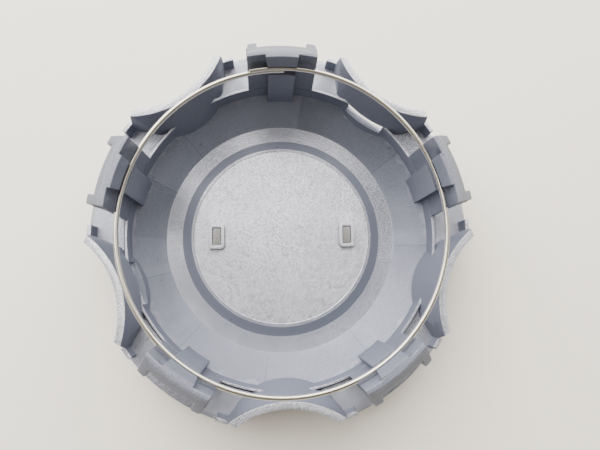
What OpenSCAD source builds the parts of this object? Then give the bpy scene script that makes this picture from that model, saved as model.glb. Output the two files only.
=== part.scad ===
// Wheel centre cap with five lug scallops, seen in its own frame:
// the cap lies on its front face, +Z points to its back, towards the hub.
// Z = 0 is the front of the badge and of the nose ring, on the cap's axis.
// Heights called rise are counted from the back of the nose ring.

/* [Cap] */
// Outer radius of the lobes
rim_r = 63; // [62.6:0.1:66]
// Thickness of the moulded skin
skin = 2.4; // [2:0.1:2.8]
// Width of the rounding along the front rim, drawn as a chamfer
rim_chamfer = 0.9; // [0.3:0.1:1.6]

/* [Centre] */
// Radius of the flat centre disc
disc_r = 31.5; // [30.5:0.1:32.5]
// Rise of the centre disc
disc_rise = 3.9; // [3.2:0.1:4.6]
// Width of the sloping edge of the disc
disc_edge_w = 0.95; // [0.5:0.05:1.4]
// Drop of the disc's edge
disc_edge_drop = 0.4; // [0.2:0.1:0.7]
// Outer radius of the sloping band round the disc
band_r = 34.7; // [33.8:0.1:36]
// Rise of the band's outer edge
band_rise = 1.75; // [1.2:0.05:2.4]
// Outer radius of the nose ring, the deepest part
nose_r = 40.5; // [39:0.1:42]
// Radius at which the dish meets the lip
dish_r = 50.5; // [49.8:0.1:51]
// Rise of the dish at the lip
dish_rise = 7.6; // [6.4:0.1:8.2]

/* [Lip and floor] */
// Thickness of the lip
lip_t = 0.9; // [0.7:0.1:1.4]
// Rise of the lip's top
lip_rise = 13.2; // [12.4:0.1:14]
// Rise of the lobes' floor
floor_rise = 11.2; // [10.6:0.1:11.8]
// Width of the groove behind the lip
groove_w = 0.6; // [0.3:0.1:1]
// Depth of the groove behind the lip
groove_d = 1; // [0.4:0.1:1.4]

/* [Lug scallops] */
// Distance of a scallop's axis from the cap's axis
scallop_axis = 82.25; // [81.5:0.25:83]
// Radius of the scallop's outer face at its top edge
scallop_r = 28.7; // [28.2:0.1:29.4]
// Lean of the scallop walls from upright, in degrees
scallop_lean = 10.3; // [8:0.1:11]
// Thickness of the scallop walls
scallop_t = 2.2; // [1.8:0.1:2.6]
// Rise of the scallop walls
scallop_rise = 24.5; // [22:0.1:26]
// Distance of the cusps from the axis at the top of the walls, along the lobe
cusp_x = 56; // [55:0.1:57]
// How much further out the cusps are at the return walls
cusp_spread = 1.5; // [0.5:0.1:2]
// Width of a lobe's pocket between the scallop walls, at the return walls
pocket_w = 37.4; // [36.8:0.1:38]
// Turn of the pocket's sides from the lobe's direction, in degrees
pocket_taper = 6.1; // [4:0.1:8]
// Least thickness of the scallop walls beside a pocket
flank_t = 1; // [0.8:0.1:1.4]
// Width of the window in two of the scallop walls
window_w = 14.3; // [10:0.1:15]
// Rise of the window's sill
window_sill = 8.7; // [8.4:0.1:10]
// Height of the window
window_h = 4.4; // [4:0.1:5]
// Which scallops have a window, counted from the one at 54 degrees
window_scallops = [0, 2]; // [0:1:4]

/* [Return walls] */
// How far the outer face of the return walls lies inside the rim
return_inset = 1.1; // [0.5:0.1:1.3]
// Thickness of the return walls
return_t = 1.3; // [1:0.1:1.8]
// Rise of the return walls
return_rise = 16.8; // [15:0.1:18.5]
// Angle from a clip's middle to the end of its return walls
return_end = 15.1; // [14:0.1:16]

/* [Clips] */
// Width of a clip at its root
clip_w = 22.3; // [20:0.1:24]
// Width that a clip loses from its root to its top
clip_taper = 1; // [0:0.1:2]
// Thickness of a clip's stem
clip_t = 2.4; // [2:0.1:2.8]
// How far the stem leans outwards from the lip to the wire
clip_lean = 0.4; // [0:0.1:0.8]
// Rise of the clips' tops
clip_rise = 35.5; // [34.5:0.1:37]
// How far the outer edge of a clip's top lies outside the dish
crest_out = 2.15; // [1.8:0.05:2.6]
// Width of a clip's flat top
crest_w = 1.4; // [1:0.1:1.8]
// How far the snap bead reaches outside the dish
bead_out = 4.9; // [4.4:0.1:5.6]
// How far the ears at both ends reach beyond the bead
ear_reach = 2.8; // [2.2:0.1:3.4]
// Width of an ear
ear_w = 2.9; // [2.2:0.1:3.4]
// Height of the upright edge of the bead and the ears
bead_edge = 1.1; // [0.6:0.1:1.6]

/* [Rib and pad] */
// Width of the rib inside each clip
rib_w = 8.8; // [7:0.1:10]
// How far the rib's face lies inside the dish's edge
rib_in = 2.1; // [1.8:0.1:2.4]
// Width of the pad above the wire, at its top
pad_w = 10; // [9:0.1:11]
// How far the pad's upper edge lies inside the dish's edge
pad_in = 0.1; // [0:0.1:0.5]
// How far the pad's lip, which holds the wire down, lies inside the dish's edge
pad_lip_in = 1.5; // [1.3:0.05:1.7]
// Height of the upright edge of the pad's lip
pad_lip_edge = 0.5; // [0.2:0.1:1]

/* [Retaining ring] */
// Diameter of the spring wire
wire_d = 1.5; // [1.3:0.1:1.8]
// How far the middle of the wire lies inside the dish's edge
ring_in = 1.2; // [1:0.05:1.4]
// Drop from the clips' tops to the ring, halfway between its two ends
ring_drop = 6.1; // [5.6:0.1:6.6]
// Clearance behind the wire, and between its two ends
wire_gap = 0.1; // [0.05:0.05:0.2]
// Clearance above and below the wire's ends in their groove
wire_play = 0.7; // [0.3:0.1:0.9]
// Angle past the lobe's middle at which the upper end of the wire stops
end_high = 11.8; // [8:0.1:13]
// Angle past the lobe's middle at which the lower end of the wire stops
end_low = 0.8; // [0.5:0.1:4]

/* [Badge] */
// Radius of the blank badge
badge_r = 30.4; // [29.6:0.1:31]
// Clearance round the badge and its legs
badge_gap = 0.2; // [0.1:0.05:0.3]
// Width of the chamfer on the badge and its seat
badge_chamfer = 0.5; // [0.2:0.1:0.8]
// Distance of each leg from the axis
leg_x = 22.7; // [21:0.1:24]
// Width of a leg's slot
slot_w = 2.9; // [2.4:0.1:3.4]
// Length of a leg's slot
slot_l = 6.1; // [5.4:0.1:6.8]
// Wall of the boss round a slot
boss_t = 1.3; // [1:0.1:1.6]
// Height of the boss above the disc
boss_h = 1.2; // [0.8:0.1:1.8]
// How far a leg's end stays below the boss
leg_sink = 0.5; // [0.2:0.1:0.8]

/* [Hidden] */

$fn = 96;
lobes = 5;
pitch = 360 / lobes;
first_clip = 90;
first_scallop = first_clip - pitch / 2;
eps = 0.01;
over = 2;

function z(rise) = skin + rise;

cone_angle = atan(dish_rise / (dish_r - nose_r));
nose_front_r = nose_r + skin * tan(cone_angle / 2);
seat_z = z(disc_rise) - skin;
lobe_front_z = z(floor_rise) - skin;
lip_r = dish_r + lip_t;
skirt_r = lip_r + groove_w + skin;
knee_z = (lip_r - nose_front_r) * tan(cone_angle);
pocket_r = badge_r + badge_gap;

top_z = z(scallop_rise);
lean_per_mm = tan(scallop_lean);
return_z = z(return_rise);
return_r = rim_r - return_inset;
return_in_r = return_r - return_t;

clip_z = z(clip_rise);
crest_r = dish_r + crest_out;
bead_r = dish_r + bead_out;
ear_r = bead_r + ear_reach;
stem_r = dish_r + clip_lean;
stem_mid_r = stem_r + clip_t / 2;
stem_out_r = stem_r + clip_t;
ramp_z = function (r) clip_z - (r - crest_r);

ring_z = clip_z - ring_drop;
ring_r = dish_r - ring_in;
ring_tilt = atan((wire_d + wire_gap) / (4 * ring_r));
ring_middle = (end_high - end_low) / 2 + 180;
groove_top = ring_z + wire_d + wire_play;
groove_bottom = ring_z - wire_d - wire_play;
groove_r = ring_r + wire_d / 2 + wire_gap;
rib_r = dish_r - rib_in;
pad_r = dish_r - pad_in;
pad_lip_r = dish_r - pad_lip_in;

boss_z = z(disc_rise) + boss_h;
leg_w = slot_w - 2 * badge_gap;
leg_l = slot_l - 2 * badge_gap;
boss_w = slot_w + 2 * boss_t;
boss_l = slot_l + 2 * boss_t;
corner = 0.6;

plastic = [0.62, 0.64, 0.67];
steel = [0.85, 0.85, 0.83];
chrome = [0.75, 0.76, 0.78];

// A copy of the children at each lobe, turned so that +X points along it
module at_lobes(first) {
    for (i = [0:lobes - 1]) rotate(first + i * pitch) children();
}

// The part of a revolved profile that lies within an angle each side of +X
module sector(half, convexity = 4) {
    rotate(-half) rotate_extrude(angle = 2 * half, convexity = convexity) children();
}

// Everything in front of the moulding's front surface
module front_space() {
    rotate_extrude() polygon([
        [0, -over], [0, seat_z], [pocket_r, seat_z],
        [pocket_r, badge_chamfer], [pocket_r + badge_chamfer, 0],
        [nose_front_r, 0], [lip_r, knee_z], [skirt_r, lobe_front_z],
        [rim_r - rim_chamfer, lobe_front_z], [rim_r, lobe_front_z + rim_chamfer],
        [rim_r + over, lobe_front_z + rim_chamfer], [rim_r + over, -over]
    ]);
}

// The skin with the disc, band, nose ring, dish, lip and floor, filled at the front
module skin_blank() {
    rotate_extrude() polygon([
        [0, 0], [0, z(disc_rise)], [disc_r - disc_edge_w, z(disc_rise)],
        [disc_r, z(disc_rise) - disc_edge_drop], [band_r, z(band_rise)],
        [nose_r, skin], [dish_r, z(dish_rise)], [dish_r, z(lip_rise)],
        [lip_r, z(lip_rise)], [lip_r, z(floor_rise) - groove_d],
        [lip_r + groove_w, z(floor_rise) - groove_d], [lip_r + groove_w, z(floor_rise)],
        [rim_r, z(floor_rise)], [rim_r, 0]
    ]);
}

// A cone about the scallop's axis, its radius stated at the walls' top edge
module scallop_cone(r, low, high) {
    translate([scallop_axis, 0, low])
        cylinder(h = high - low, r1 = r + (top_z - low) * lean_per_mm,
                 r2 = r + (top_z - high) * lean_per_mm);
}

// The pocket of one lobe, between its scallop walls, wider by a margin on each side
module pocket(margin = 0) {
    function half(x) = pocket_w / 2 + margin + (return_in_r - x) * tan(pocket_taper);
    far = rim_r + over;
    translate([0, 0, -over]) linear_extrude(top_z + 2 * over) polygon([
        [nose_r, -half(nose_r)], [far, -half(far)], [far, half(far)], [nose_r, half(nose_r)]
    ]);
}

// The hollow of one scallop, which leaves the walls beside the pockets their thickness
module scallop() {
    difference() {
        scallop_cone(scallop_r, -over, top_z + over);
        for (side = [-1, 1]) rotate(side * pitch / 2) pocket(flank_t);
    }
}

// What is cut off beyond the cusps of one lobe and above its return walls
module cusp_ends() {
    slope = cusp_spread / (top_z - return_z);
    rotate([90, 0, 0]) linear_extrude(2 * rim_r, center = true) polygon([
        [cusp_x + cusp_spread, return_z], [cusp_x - slope * over, top_z + over],
        [rim_r + over, top_z + over], [rim_r + over, return_z]
    ]);
}

// The wall of one scallop, with the low walls that return along the lobes' edges
module scallop_wall() {
    difference() {
        intersection() {
            union() {
                difference() {
                    scallop_cone(scallop_r + scallop_t, 0, top_z + over);
                    for (side = [-1, 1]) rotate(side * pitch / 2) pocket();
                }
                sector(pitch / 2 - return_end) translate([return_in_r, 0])
                    square([return_t + over, top_z + over]);
            }
            cylinder(h = top_z, r = return_r);
        }
        for (side = [-1, 1]) rotate(side * pitch / 2) cusp_ends();
    }
}

// The window at the foot of a scallop wall
module window() {
    translate([nose_r, -window_w / 2, z(window_sill)])
        cube([scallop_axis - scallop_r - nose_r, window_w, window_h]);
}

// The space between two sides, each a line of [width, height], seen along the radius
module between_sides(side) {
    rotate([90, 0, 90]) linear_extrude(rim_r) polygon(concat(
        [for (p = side) [p[0] / 2, p[1]]],
        [for (i = [len(side) - 1:-1:0]) [-side[i][0] / 2, side[i][1]]]
    ));
}

// A clip's section out to a bead of the given radius, with 45 degree ramps
module clip_section(bead) {
    polygon([
        [dish_r, 0], [stem_r, ring_z], [crest_r - crest_w, clip_z], [crest_r, clip_z],
        [bead, ramp_z(bead)], [bead, ramp_z(bead) - bead_edge],
        [stem_out_r, ramp_z(bead) - bead_edge - (bead - stem_out_r)], [stem_out_r, 0]
    ]);
}

// One ear in plan, round at its tip
module ear_plan() {
    tip = ear_r - ear_w / 2;
    translate([stem_mid_r, -ear_w / 2]) square([tip - stem_mid_r, ear_w]);
    translate([tip, 0]) circle(d = ear_w);
}

// One clip: stem, crest and bead, with an ear at each end of the bead
module clip() {
    half = asin(clip_w / (2 * dish_r)) + 1;
    ear_y = (clip_w - clip_taper - ear_w) / 2;
    intersection() {
        union() {
            sector(half) clip_section(bead_r);
            intersection() {
                sector(half) clip_section(ear_r);
                for (side = [-1, 1]) translate([0, side * ear_y])
                    linear_extrude(clip_z) ear_plan();
            }
        }
        between_sides([[clip_w, 0], [clip_w - clip_taper, clip_z]]);
    }
}

// The rib and the pad inside one clip, with the groove that holds the wire
module rib() {
    half = asin(pad_w / (2 * rib_r)) + 1;
    intersection() {
        sector(half) polygon([
            [rib_r, 0], [rib_r, groove_bottom], [groove_r, groove_bottom],
            [groove_r, groove_top], [pad_lip_r, groove_top],
            [pad_lip_r, groove_top + pad_lip_edge], [pad_r, clip_z],
            [stem_mid_r, clip_z], [stem_mid_r, 0]
        ]);
        between_sides([[rib_w, 0], [rib_w, groove_top], [pad_w, clip_z]]);
    }
}

// A rectangle with round corners
module round_rect(w, l, r) {
    square([w - 2 * r, l], center = true);
    square([w, l - 2 * r], center = true);
    for (x = [-1, 1], y = [-1, 1])
        translate([x * (w / 2 - r), y * (l / 2 - r)]) circle(r, $fn = 24);
}

// The bosses round the two slots, or the slots through them
module at_legs() {
    for (side = [-1, 1]) translate([side * leg_x, 0]) children();
}

module cap_body() {
    color(plastic) difference() {
        union() {
            skin_blank();
            at_lobes(first_scallop) scallop_wall();
            at_lobes(first_clip) clip();
            at_lobes(first_clip) rib();
            at_legs() translate([0, 0, seat_z]) linear_extrude(boss_z - seat_z)
                round_rect(boss_w, boss_l, corner + boss_t / 2);
        }
        front_space();
        at_lobes(first_scallop) scallop();
        for (i = window_scallops) rotate(first_scallop + i * pitch) window();
        at_legs() translate([0, 0, -over]) linear_extrude(boss_z + 2 * over)
            round_rect(slot_w, slot_l, corner / 2);
    }
}

// Half of the ring, tilted about its tangent opposite the wire's two ends
module half_ring(from, to, tilt) {
    translate([0, 0, ring_z]) rotate(ring_middle) translate([ring_r, 0]) rotate([0, tilt, 0])
        translate([-ring_r, 0]) rotate(from - ring_middle) rotate_extrude(angle = to - from)
            translate([ring_r, 0]) circle(d = wire_d, $fn = 32);
}

module retaining_ring() {
    color(steel) rotate(first_clip) union() {
        half_ring(-end_low, ring_middle + eps, -ring_tilt);
        half_ring(ring_middle - eps, end_high + 360, ring_tilt);
    }
}

module badge() {
    color(chrome) union() {
        rotate_extrude() polygon([
            [0, 0], [badge_r - badge_chamfer, 0], [badge_r, badge_chamfer],
            [badge_r, seat_z], [0, seat_z]
        ]);
        at_legs() translate([-leg_w / 2, -leg_l / 2, seat_z - eps])
            cube([leg_w, leg_l, boss_z - leg_sink - seat_z + eps]);
    }
}

cap_body();
retaining_ring();
badge();
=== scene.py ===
"""Wheel centre cap lying on its front face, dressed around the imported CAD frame.

Everything is in metres in the row's frame: the cap's axis is Z, its front is at Z = 0
and +Z is its back, which is what the camera sees.
"""

import math

import bmesh
import bpy
from mathutils import Matrix, Vector


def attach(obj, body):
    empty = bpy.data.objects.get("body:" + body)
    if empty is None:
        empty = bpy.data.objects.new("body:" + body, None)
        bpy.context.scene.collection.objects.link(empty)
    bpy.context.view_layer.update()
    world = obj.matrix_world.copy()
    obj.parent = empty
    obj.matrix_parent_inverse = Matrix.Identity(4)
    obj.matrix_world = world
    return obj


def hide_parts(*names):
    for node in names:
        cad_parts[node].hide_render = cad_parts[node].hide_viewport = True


bl_info = {
    "name": "Wheel centre cap",
    "version": (1, 0, 0),
    "blender": (4, 5, 0),
    "location": "View3D > Sidebar > Cap",
    "description": "Finishes the cap, its wire ring and its blank disc, and sets up the studio",
    "category": "Object",
}

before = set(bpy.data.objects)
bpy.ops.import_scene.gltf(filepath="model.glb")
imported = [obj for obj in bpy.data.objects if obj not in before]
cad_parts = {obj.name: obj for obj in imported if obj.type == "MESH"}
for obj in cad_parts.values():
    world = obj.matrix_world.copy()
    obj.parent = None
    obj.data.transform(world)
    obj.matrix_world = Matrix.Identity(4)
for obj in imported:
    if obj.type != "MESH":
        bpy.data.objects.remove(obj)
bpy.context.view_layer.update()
MM = 0.001


def linear(hexcode):
    """An sRGB hex colour as linear RGB."""
    out = []
    for i in (0, 2, 4):
        c = int(hexcode[i : i + 2], 16) / 255
        out.append(c / 12.92 if c <= 0.04045 else ((c + 0.055) / 1.055) ** 2.4)
    return tuple(out)


def rgba(colour):
    return (*colour, 1.0)


# ---------------------------------------------------------------- zones of the moulding

# Radii round the cap's axis, in mm: each zone reaches from the first to the second
BURR = (30.3, 30.6)  # a raised line on the disc's corner
BAND = (31.45, 34.75)  # the polished cone round the disc
DISH = (40.5, 50.6)
# The lobes' floors within these radii get painted shade in the moulding
LOBES = (50.8, 64.0)
DISH_MIDDLE = 45
RING_SOFT = 0.08  # half of the width over which a zone's edge fades
BURR_SOFT = 0.12

# Heights over the front, in mm: a change fades in between the first and the second
# Under these heights the lobes' floors get painted shade in the moulding
OVER_FLOORS = (15, 16)  # above the lobes' floors
OVER_WALLS = (27.2, 27.6)  # above the scallop walls, where only the clips are left

# A normal's Z: the dish leans 37 degrees and is milled, the clips' ramps lean 45 and aren't
MILLED_LEAN = (0.715, 0.765)

# Small sizes, in mm
SEAM = 0.12  # width of the line between two sectors of the dish
SPECK = 0.26  # radius of a dark speck
CLOUD = 14  # size of the slow change of the bloom
MILLED_DEPTH = 0.1
POLISHED_DEPTH = 0.01
BURR_HEIGHT = 0.15


# ---------------------------------------------------------------- sizes and colours


class CapMoulding(bpy.types.PropertyGroup):
    """Sizes and colours of the moulded cap"""

    edge: bpy.props.FloatProperty(
        name="Edge rounding",
        description="Radius that the mould leaves on every outer edge",
        default=0.18 * MM,
        min=0.05 * MM,
        max=0.4 * MM,
        precision=5,
        unit="LENGTH",
    )
    crest: bpy.props.FloatProperty(
        name="Clip rounding",
        description="Radius on the crests, beads and ears of the clips",
        default=0.3 * MM,
        min=0.2 * MM,
        max=0.33 * MM,  # a wider one overshoots at the short edges on the clips' corners
        precision=5,
        unit="LENGTH",
    )
    plastic: bpy.props.FloatVectorProperty(
        name="Plastic",
        description="Slate ABS where the mould is smooth",
        default=linear("646a7c"),
        subtype="COLOR",
    )
    sheen: bpy.props.FloatVectorProperty(
        name="Milled faces",
        description="Silvery cast of the faces that took the mould's milling marks",
        default=linear("b8bccb"),
        subtype="COLOR",
    )
    # Mixed in at half on the lobes' floors as painted shade, besides the dish's own cast
    bowl: bpy.props.FloatVectorProperty(
        name="Dish",
        description="Cast of the dish, where the overspray is thin",
        default=linear("747a8c"),
        subtype="COLOR",
    )
    milling: bpy.props.FloatProperty(
        name="Milling pitch",
        # The real passes are about 0.4 mm apart, too fine for a picture, so they are drawn coarser
        description="Distance between the cutter's passes in the mould",
        default=0.65 * MM,
        min=0.2 * MM,
        max=1.0 * MM,
        precision=5,
        unit="LENGTH",
    )
    grain: bpy.props.FloatProperty(
        name="Grain",
        description="Size of the grain between the milling marks",
        default=0.5 * MM,
        min=0.1 * MM,
        max=1.0 * MM,
        precision=5,
        unit="LENGTH",
    )
    overspray: bpy.props.FloatProperty(
        name="Overspray",
        description="How metal-like the milled faces shine",
        default=0.5,
        min=0.0,
        max=1.0,
        subtype="FACTOR",
    )
    sectors: bpy.props.FloatProperty(
        name="Sectors",
        description="About how many sectors the dish was milled in",
        default=9.0,
        min=3.0,
        max=20.0,
    )
    specks: bpy.props.FloatProperty(
        name="Speck spacing",
        description="Side of the squares, of which about half hold one dark speck",
        default=13 * MM,
        min=5 * MM,
        max=50 * MM,
        unit="LENGTH",
    )


class CapWire(bpy.types.PropertyGroup):
    """Colour of the spring wire"""

    steel: bpy.props.FloatVectorProperty(
        name="Steel",
        description="Bright drawn spring steel",
        default=linear("cfccc4"),
        subtype="COLOR",
    )


class CapDisc(bpy.types.PropertyGroup):
    """Colour of the blank disc in the front"""

    plating: bpy.props.FloatVectorProperty(
        name="Plating",
        description="Bright plating on the blank disc and its legs",
        default=linear("c9cbcf"),
        subtype="COLOR",
    )


class CapStage(bpy.types.PropertyGroup):
    """The floor, the lights and the camera"""

    floor: bpy.props.FloatVectorProperty(
        name="Floor",
        description="Pale table top under the cap",
        default=linear("fbf8f1"),
        subtype="COLOR",
    )
    key: bpy.props.FloatProperty(
        name="Key light",
        description="Power of the soft light past the top left of the picture",
        default=11.0,
        min=0.0,
        unit="POWER",
    )
    top: bpy.props.FloatProperty(
        name="Top light",
        description="Power of the wide soft light past the top of the picture",
        default=20.0,
        min=0.0,
        unit="POWER",
    )
    side: bpy.props.FloatProperty(
        name="Side light",
        description="Power of the weaker soft light past the top right of the picture",
        default=3.0,
        min=0.0,
        unit="POWER",
    )


# ---------------------------------------------------------------- helpers


def add(tree, kind, inputs=None, **settings):
    """A node with its settings, and each input set to a value or linked to a socket."""
    n = tree.nodes.new(kind)
    for name, value in settings.items():
        setattr(n, name, value)
    for name, value in (inputs or {}).items():
        if isinstance(value, bpy.types.NodeSocket):
            tree.links.new(value, n.inputs[name])
        else:
            n.inputs[name].default_value = value
    return n


def new_material(name):
    mat = bpy.data.materials.new(name)
    mat.use_nodes = True
    tree = mat.node_tree
    tree.nodes.clear()
    return mat, tree


# ---------------------------------------------------------------- materials


def ring(t, radius, zone, soft=RING_SOFT):
    """A mask that is 1 between a zone's two radii round the cap's axis and 0 elsewhere."""
    inner, outer = zone
    inside = add(
        t, "ShaderNodeMapRange",
        {"Value": radius, "From Min": (inner - soft) * MM, "From Max": (inner + soft) * MM},
        interpolation_type="SMOOTHSTEP",
    ).outputs[0]
    outside = add(
        t, "ShaderNodeMapRange",
        {
            "Value": radius, "From Min": (outer - soft) * MM, "From Max": (outer + soft) * MM,
            "To Min": 1.0, "To Max": 0.0,
        },
        interpolation_type="SMOOTHSTEP",
    ).outputs[0]
    return add(t, "ShaderNodeMath", {0: inside, 1: outside}, operation="MULTIPLY").outputs[0]


WAVE = 0.314  # Blender's wave repeats every WAVE / scale along its axis


def milling_marks(t, place, s):
    """Crossed passes of the cutter, the first deeper than the second, with grain over them."""
    marks = []
    for turn in (45, -45):
        turned = add(
            t, "ShaderNodeMapping", {"Vector": place, "Rotation": (0, 0, math.radians(turn))},
        )
        marks.append(add(
            t, "ShaderNodeTexWave",
            {
                "Vector": turned.outputs[0],
                "Scale": WAVE / s.milling,
                "Distortion": 4.0,
                "Detail": 2.0,
                "Detail Scale": 0.6,
            },
            wave_type="BANDS", bands_direction="X",
        ).outputs["Fac"])
    crossed = add(t, "ShaderNodeMix", {"Factor": 0.3, "A": marks[0], "B": marks[1]}).outputs[0]
    grain = add(
        t, "ShaderNodeTexNoise",
        {"Vector": place, "Scale": 1 / s.grain, "Detail": 3.0, "Roughness": 0.65},
    ).outputs["Fac"]
    return add(t, "ShaderNodeMix", {"Factor": 0.77, "A": crossed, "B": grain}).outputs[0]


def dish_sectors(t, axes, s):
    """The dish was milled in sectors: a shade for each, and a fine line between two."""
    turn = add(
        t, "ShaderNodeMath", {0: axes.outputs["Y"], 1: axes.outputs["X"]}, operation="ARCTAN2",
    ).outputs[0]
    sector = add(
        t, "ShaderNodeMath", {0: turn, 1: s.sectors / math.tau}, operation="MULTIPLY",
    ).outputs[0]
    colour = add(
        t, "ShaderNodeTexVoronoi", {"W": sector, "Scale": 1.0}, voronoi_dimensions="1D",
    ).outputs["Color"]
    one = add(t, "ShaderNodeSeparateXYZ", {0: colour}).outputs["X"]
    # Each sector's random tone is painted shade, for the slightly different light that each milled
    # facet catches
    shade = add(t, "ShaderNodeMapRange", {"Value": one, "To Min": 0.88, "To Max": 1.14}).outputs[0]
    edge = add(
        t, "ShaderNodeTexVoronoi", {"W": sector, "Scale": 1.0},
        voronoi_dimensions="1D", feature="DISTANCE_TO_EDGE",
    ).outputs["Distance"]
    width = SEAM * MM * s.sectors / (math.tau * DISH_MIDDLE * MM)  # as a share of a sector
    seam = add(
        t, "ShaderNodeMapRange",
        {"Value": edge, "From Min": 0.4 * width, "From Max": width, "To Min": 1.0, "To Max": 0.0},
    ).outputs[0]
    return shade, seam


def dark_specks(t, flat, s):
    """Black specks in the moulding, one in about half of the squares of the speck spacing."""
    dots = add(
        t, "ShaderNodeTexVoronoi", {"Vector": flat, "Scale": 1 / s.specks}, voronoi_dimensions="2D",
    )
    size = SPECK * MM / s.specks
    near = add(
        t, "ShaderNodeMapRange",
        {
            "Value": dots.outputs["Distance"], "From Min": 0.6 * size, "From Max": size,
            "To Min": 1.0, "To Max": 0.0,
        },
    ).outputs[0]
    one = add(t, "ShaderNodeSeparateXYZ", {0: dots.outputs["Color"]}).outputs["X"]
    chosen = add(t, "ShaderNodeMath", {0: one, 1: 0.55}, operation="GREATER_THAN").outputs[0]
    return add(t, "ShaderNodeMath", {0: near, 1: chosen}, operation="MULTIPLY").outputs[0]


def moulded_abs(s):
    """ABS, injection moulded, slate with a silvery bloom where the mould was milled.

    The walls, the ribs and the cone round the disc come from a polished part of the
    mould. The disc, nose ring, dish, floors and tops took the marks of a ball cutter in
    crossed passes. Overspray lies on those faces and gives them a metal-like sheen. The
    lobes' floors get a darker cast and less shine as painted shade, and the clips partly so.
    """
    mat, t = new_material("moulded_abs")
    where = add(t, "ShaderNodeTexCoord")
    place = where.outputs["Object"]
    facing = add(t, "ShaderNodeSeparateXYZ", {0: where.outputs["Normal"]}).outputs["Z"]
    axes = add(t, "ShaderNodeSeparateXYZ", {0: place})
    flat = add(
        t, "ShaderNodeCombineXYZ", {"X": axes.outputs["X"], "Y": axes.outputs["Y"]},
    ).outputs[0]
    radius = add(t, "ShaderNodeVectorMath", {0: flat}, operation="LENGTH").outputs["Value"]

    back = add(
        t, "ShaderNodeMapRange",
        {"Value": facing, "From Min": MILLED_LEAN[0], "From Max": MILLED_LEAN[1]},
        interpolation_type="SMOOTHSTEP",
    ).outputs[0]
    clips = add(
        t, "ShaderNodeMapRange",
        {
            "Value": axes.outputs["Z"],
            "From Min": OVER_WALLS[0] * MM, "From Max": OVER_WALLS[1] * MM,
        },
    ).outputs[0]
    not_band = add(
        t, "ShaderNodeMath", {0: 1.0, 1: ring(t, radius, BAND)}, operation="SUBTRACT",
    ).outputs[0]
    milled = add(t, "ShaderNodeMath", {0: back, 1: not_band}, operation="MULTIPLY").outputs[0]
    dish = add(
        t, "ShaderNodeMath", {0: ring(t, radius, DISH), 1: back}, operation="MULTIPLY",
    ).outputs[0]
    # The overspray is thin in the dish and faint on the clips. The lobes' floors get half of the
    # dish's darker cast, and less shine, as painted shade for the shadow that the walls and clips
    # cast on them.
    painted_floor_shade = add(
        t, "ShaderNodeMapRange",
        {
            "Value": axes.outputs["Z"],
            "From Min": OVER_FLOORS[0] * MM, "From Max": OVER_FLOORS[1] * MM,
            "To Min": 0.5, "To Max": 0.0,
        },
    ).outputs[0]
    painted_floor_shade = add(
        t, "ShaderNodeMath", {0: ring(t, radius, LOBES), 1: painted_floor_shade}, operation="MULTIPLY",
    ).outputs[0]
    thin_spray_and_floor_shade = add(t, "ShaderNodeMath", {0: dish, 1: painted_floor_shade}, operation="MAXIMUM").outputs[0]
    # The clips' bloom drops to 0.15: their plastic is plainer, and the drop is partly painted shade
    # for their ramps that face away from the light
    clip_fade_and_shade = add(t, "ShaderNodeMapRange", {"Value": clips, "To Min": 1.0, "To Max": 0.15}).outputs[0]
    bloomed = add(t, "ShaderNodeMath", {0: milled, 1: clip_fade_and_shade}, operation="MULTIPLY").outputs[0]

    weave = milling_marks(t, place, s)
    cloud = add(
        t, "ShaderNodeTexNoise", {"Vector": place, "Scale": 1 / (CLOUD * MM), "Detail": 2.0},
    ).outputs["Fac"]
    shade, seam = dish_sectors(t, axes, s)

    # Brightness of the bloom: the weave, fainter in the dish, a slow change and the painted shade
    # of the dish's sectors, for the light that each facet catches
    fine = add(
        t, "ShaderNodeMapRange",
        {"Value": weave, "From Min": 0.4, "From Max": 0.6, "To Min": 0.42, "To Max": 1.58},
    ).outputs[0]
    faint = add(t, "ShaderNodeMapRange", {"Value": dish, "To Min": 0.0, "To Max": 0.65}).outputs[0]
    fine = add(t, "ShaderNodeMix", {"Factor": faint, "A": fine, "B": 1.0}).outputs[0]
    slow = add(
        t, "ShaderNodeMapRange",
        {"Value": cloud, "From Min": 0.3, "From Max": 0.7, "To Min": 0.94, "To Max": 1.06},
    ).outputs[0]
    bright = add(t, "ShaderNodeMath", {0: fine, 1: slow}, operation="MULTIPLY").outputs[0]
    shade = add(t, "ShaderNodeMix", {"Factor": dish, "A": 1.0, "B": shade}).outputs[0]
    bright = add(t, "ShaderNodeMath", {0: bright, 1: shade}, operation="MULTIPLY").outputs[0]
    bloom = add(
        t, "ShaderNodeMix",
        {"Factor": thin_spray_and_floor_shade, "A": rgba(s.sheen), "B": rgba(s.bowl)}, data_type="RGBA",
    ).outputs[2]
    bloom = add(
        t, "ShaderNodeVectorMath", {0: bloom, "Scale": bright}, operation="SCALE",
    ).outputs[0]
    colour = add(
        t, "ShaderNodeMix",
        {"Factor": bloomed, "A": rgba(s.plastic), "B": bloom}, data_type="RGBA",
    ).outputs[2]

    # Seams and specks darken what lies under them
    line = add(t, "ShaderNodeMath", {0: seam, 1: dish}, operation="MULTIPLY").outputs[0]
    line = add(t, "ShaderNodeMath", {0: line, 1: 0.5}, operation="MULTIPLY").outputs[0]
    speck = add(
        t, "ShaderNodeMath", {0: dark_specks(t, flat, s), 1: back}, operation="MULTIPLY",
    ).outputs[0]
    speck = add(t, "ShaderNodeMath", {0: speck, 1: 0.85}, operation="MULTIPLY").outputs[0]
    dark = add(t, "ShaderNodeMath", {0: line, 1: speck}, operation="MAXIMUM").outputs[0]
    light = add(t, "ShaderNodeMath", {0: 1.0, 1: dark}, operation="SUBTRACT").outputs[0]
    colour = add(
        t, "ShaderNodeVectorMath", {0: colour, "Scale": light}, operation="SCALE",
    ).outputs[0]

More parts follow.
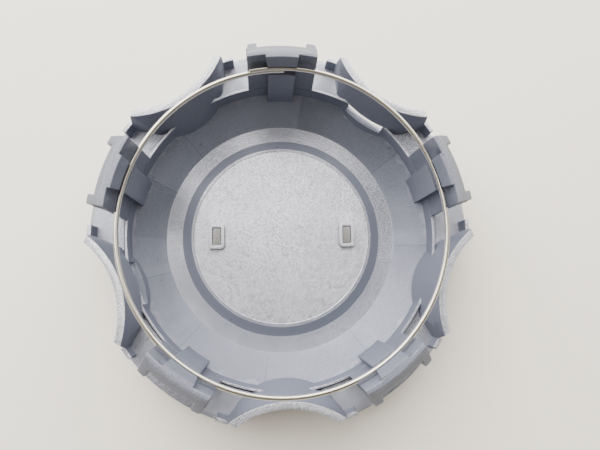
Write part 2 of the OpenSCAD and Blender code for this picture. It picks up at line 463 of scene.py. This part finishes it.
    # How metal-like it shines: less in the dish, where the overspray is thin, and less on the
    # lobes' floors as painted shade
    thin = add(
        t, "ShaderNodeMapRange",
        {"Value": thin_spray_and_floor_shade, "To Min": s.overspray, "To Max": 0.6 * s.overspray},
    ).outputs[0]
    sheen = add(t, "ShaderNodeMath", {0: bloomed, 1: thin}, operation="MULTIPLY").outputs[0]

    # Heights in mm: the weave, nearly flat on polished walls, and the burr on the disc's corner
    rough = add(t, "ShaderNodeMath", {0: milled, 1: clips}, operation="MAXIMUM").outputs[0]
    depth = add(
        t, "ShaderNodeMapRange",
        {"Value": rough, "To Min": POLISHED_DEPTH, "To Max": MILLED_DEPTH},
    ).outputs[0]
    burr = add(
        t, "ShaderNodeMath",
        {0: ring(t, radius, BURR, BURR_SOFT), 1: BURR_HEIGHT}, operation="MULTIPLY",
    ).outputs[0]
    height = add(t, "ShaderNodeMath", {0: weave, 1: depth}, operation="MULTIPLY").outputs[0]
    height = add(t, "ShaderNodeMath", {0: height, 1: burr}, operation="ADD").outputs[0]
    bump = add(t, "ShaderNodeBump", {"Height": height, "Strength": 1.0, "Distance": MM})
    gloss = add(
        t, "ShaderNodeMapRange", {"Value": milled, "To Min": 0.45, "To Max": 0.4},
    ).outputs[0]
    shader = add(
        t, "ShaderNodeBsdfPrincipled",
        {
            "Base Color": colour, "Metallic": sheen, "Roughness": gloss, "IOR": 1.54,
            "Normal": bump.outputs[0],
        },
    )
    add(t, "ShaderNodeOutputMaterial", {"Surface": shader.outputs[0]})
    return mat


def spring_steel(s):
    """Drawn spring steel: bright, with faint lines along the wire from the die."""
    mat, t = new_material("drawn_spring_steel")
    where = add(t, "ShaderNodeTexCoord")
    lines = add(
        t, "ShaderNodeTexNoise",
        {"Vector": where.outputs["Object"], "Scale": 1 / (1.2 * MM), "Detail": 2.0},
    ).outputs["Fac"]
    rough = add(
        t, "ShaderNodeMapRange", {"Value": lines, "To Min": 0.14, "To Max": 0.26},
    ).outputs[0]
    shader = add(
        t, "ShaderNodeBsdfPrincipled",
        {"Base Color": rgba(s.steel), "Metallic": 1.0, "Roughness": rough},
    )
    add(t, "ShaderNodeOutputMaterial", {"Surface": shader.outputs[0]})
    return mat


def plated_disc(s):
    """Plated ABS: bright, with a faint waviness that the plating keeps from the moulding."""
    mat, t = new_material("bright_plated_abs")
    where = add(t, "ShaderNodeTexCoord")
    wave = add(
        t, "ShaderNodeTexNoise",
        {"Vector": where.outputs["Object"], "Scale": 1 / (6 * MM), "Detail": 1.0},
    ).outputs["Fac"]
    bump = add(t, "ShaderNodeBump", {"Height": wave, "Strength": 0.3, "Distance": 0.02 * MM})
    shader = add(
        t, "ShaderNodeBsdfPrincipled",
        {
            "Base Color": rgba(s.plating), "Metallic": 1.0, "Roughness": 0.16,
            "Normal": bump.outputs[0],
        },
    )
    add(t, "ShaderNodeOutputMaterial", {"Surface": shader.outputs[0]})
    return mat


def painted_table(s):
    """A pale table top with a satin paint, nearly plain."""
    mat, t = new_material("satin_table_top")
    where = add(t, "ShaderNodeTexCoord")
    fine = add(
        t, "ShaderNodeTexNoise",
        {"Vector": where.outputs["Object"], "Scale": 1 / (1.5 * MM), "Detail": 2.0},
    ).outputs["Fac"]
    bump = add(t, "ShaderNodeBump", {"Height": fine, "Strength": 0.1, "Distance": 0.05 * MM})
    shader = add(
        t, "ShaderNodeBsdfPrincipled",
        {"Base Color": rgba(s.floor), "Roughness": 0.6, "Normal": bump.outputs[0]},
    )
    add(t, "ShaderNodeOutputMaterial", {"Surface": shader.outputs[0]})
    return mat


# ---------------------------------------------------------------- operators


class CAP_OT_moulding(bpy.types.Operator):
    """Round the edges of the moulded cap and give it its plastic"""

    bl_idname = "cap.moulding"
    bl_label = "Moulded cap"

    MERGE = 0.0002 * MM  # points closer than this are one point
    FLAT = math.radians(0.3)  # faces with less of a turn between them are one face
    FOLDED = math.radians(170)  # slivers with more of a turn lie folded on a neighbour
    SHARP = math.radians(22)  # edges with less of a turn belong to round faces
    CLIP_FROM = 27.5 * MM  # above the scallop walls only the clips are left
    CLIP_OUTSIDE = 50.9 * MM  # outside this radius lie the clips' crests, beads and ears

    def execute(self, context):
        s = context.scene.cap_moulding
        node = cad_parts["cap_body"]
        bm = bmesh.new()
        bm.from_mesh(node.data)
        bmesh.ops.remove_doubles(bm, verts=bm.verts, dist=self.MERGE)
        bmesh.ops.dissolve_limit(
            bm, angle_limit=self.FLAT, verts=bm.verts, edges=bm.edges,
            use_dissolve_boundaries=False,
        )
        folds = [
            e for e in bm.edges if len(e.link_faces) == 2 and e.calc_face_angle() > self.FOLDED
        ]
        bmesh.ops.dissolve_edges(bm, edges=folds, use_verts=True, use_face_split=False)
        # The clips' crests, beads and ears are rounder than every other edge
        width = bm.edges.layers.float.new("bevel_weight_edge")
        for e in bm.edges:
            if len(e.link_faces) == 2 and e.calc_face_angle() > self.SHARP:
                clip = all(
                    v.co.z > self.CLIP_FROM and v.co.xy.length > self.CLIP_OUTSIDE for v in e.verts
                )
                e[width] = 1.0 if clip else s.edge / s.crest
        mesh = bpy.data.meshes.new("moulded_cap")
        bm.to_mesh(mesh)
        bm.free()
        for p in mesh.polygons:
            p.use_smooth = True
        cap = bpy.data.objects.new("moulded_cap", mesh)
        context.scene.collection.objects.link(cap)
        rounding = cap.modifiers.new("mould_rounding", "BEVEL")
        rounding.affect = "EDGES"
        rounding.limit_method = "WEIGHT"
        rounding.width = s.crest
        rounding.segments = 3
        rounding.profile = 0.5
        rounding.material = -1
        rounding.use_clamp_overlap = False
        rounding.harden_normals = True
        mesh.materials.append(moulded_abs(s))
        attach(cap, "root")
        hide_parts("cap_body")
        return {"FINISHED"}


class CAP_OT_wire(bpy.types.Operator):
    """Give the retaining ring its bright drawn steel"""

    bl_idname = "cap.wire"
    bl_label = "Retaining ring"

    def execute(self, context):
        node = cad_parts["retaining_ring"]
        steel = spring_steel(context.scene.cap_wire)
        for slot in node.material_slots:
            slot.material = steel
        return {"FINISHED"}


class CAP_OT_disc(bpy.types.Operator):
    """Give the blank disc and its legs their plating"""

    bl_idname = "cap.disc"
    bl_label = "Blank disc"

    def execute(self, context):
        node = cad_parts["badge"]
        plating = plated_disc(context.scene.cap_disc)
        for slot in node.material_slots:
            slot.material = plating
        return {"FINISHED"}


class CAP_OT_stage(bpy.types.Operator):
    """Lay the table top and set the lights and the camera"""

    bl_idname = "cap.stage"
    bl_label = "Table, lights and camera"

    # Where the photograph was taken from, in mm, and how the camera was turned
    CAMERA = Vector((-5.79, -18.43, 172.59)) * MM
    TURN = Vector((0.13291428, -0.07117109, -0.0191249))
    LENS = 28.62  # mm on a 36 mm wide sensor
    FAR = 0.8  # m from the cap to each soft box
    # Turn round the cap and lean from overhead, in degrees, then width and height, in m
    BOXES = {
        "key": (135, 40, 0.8, 0.8),
        "top": (95, 56, 1.7, 0.6),
        "side": (45, 40, 0.8, 0.8),
    }
    LIGHT = linear("fffaf0")
    ROOM = linear("efe3d2")
    ROOM_STRENGTH = 0.4
    TABLE = 1.5  # m, half of a side

    def soft_light(self, context, name, turn, lean, wide, tall, power):
        """A soft box aimed at the cap, turned round it and leaning from overhead."""
        data = bpy.data.lights.new(name, "AREA")
        data.shape = "RECTANGLE"
        data.size, data.size_y = wide, tall
        data.energy = power
        data.color = self.LIGHT
        lamp = bpy.data.objects.new(name, data)
        turn, lean = math.radians(turn), math.radians(lean)
        lamp.location = self.FAR * Vector(
            (math.cos(turn) * math.sin(lean), math.sin(turn) * math.sin(lean), math.cos(lean))
        )
        lamp.rotation_euler = (-lamp.location).to_track_quat("-Z", "Y").to_euler()
        context.scene.collection.objects.link(lamp)

    def execute(self, context):
        s = context.scene.cap_stage
        bm = bmesh.new()
        bmesh.ops.create_grid(bm, x_segments=1, y_segments=1, size=self.TABLE)
        mesh = bpy.data.meshes.new("table_top")
        bm.to_mesh(mesh)
        bm.free()
        table = bpy.data.objects.new("table_top", mesh)
        context.scene.collection.objects.link(table)
        mesh.materials.append(painted_table(s))

        for name, box in self.BOXES.items():
            self.soft_light(context, name, *box, getattr(s, name))
        world = bpy.data.worlds.new("studio")
        world.use_nodes = True
        room = world.node_tree.nodes["Background"]
        room.inputs["Color"].default_value = rgba(self.ROOM)
        room.inputs["Strength"].default_value = self.ROOM_STRENGTH
        context.scene.world = world

        data = bpy.data.cameras.new("photograph")
        data.sensor_width = 36
        data.sensor_fit = "HORIZONTAL"
        data.lens = self.LENS
        data.clip_start = 0.01
        camera = bpy.data.objects.new("photograph", data)
        turn = Matrix.Rotation(self.TURN.length, 4, self.TURN.normalized())
        camera.matrix_world = Matrix.Translation(self.CAMERA) @ turn
        context.scene.collection.objects.link(camera)
        context.scene.camera = camera
        return {"FINISHED"}


class CAP_PT_panel(bpy.types.Panel):
    """The cap's pieces, in the order in which they are made"""

    bl_idname = "CAP_PT_panel"
    bl_label = "Wheel centre cap"
    bl_space_type = "VIEW_3D"
    bl_region_type = "UI"
    bl_category = "Cap"

    def draw(self, context):
        for group, operator in STEPS:
            box = self.layout.box()
            settings = getattr(context.scene, group)
            for name in settings.bl_rna.properties.keys():
                if name not in ("rna_type", "name"):
                    box.prop(settings, name)
            box.operator(operator)


STEPS = (
    ("cap_moulding", "cap.moulding"),
    ("cap_wire", "cap.wire"),
    ("cap_disc", "cap.disc"),
    ("cap_stage", "cap.stage"),
)
GROUPS = {
    "cap_moulding": CapMoulding,
    "cap_wire": CapWire,
    "cap_disc": CapDisc,
    "cap_stage": CapStage,
}
CLASSES = (
    *GROUPS.values(),
    CAP_OT_moulding,
    CAP_OT_wire,
    CAP_OT_disc,
    CAP_OT_stage,
    CAP_PT_panel,
)


def register():
    for c in CLASSES:
        bpy.utils.register_class(c)
    for name, group in GROUPS.items():
        setattr(bpy.types.Scene, name, bpy.props.PointerProperty(type=group))


def unregister():
    for name in GROUPS:
        delattr(bpy.types.Scene, name)
    for c in reversed(CLASSES):
        bpy.utils.unregister_class(c)


def main():
    register()
    for _, operator in STEPS:
        group, name = operator.split(".")
        getattr(getattr(bpy.ops, group), name)()


if __name__ == "__main__":
    main()
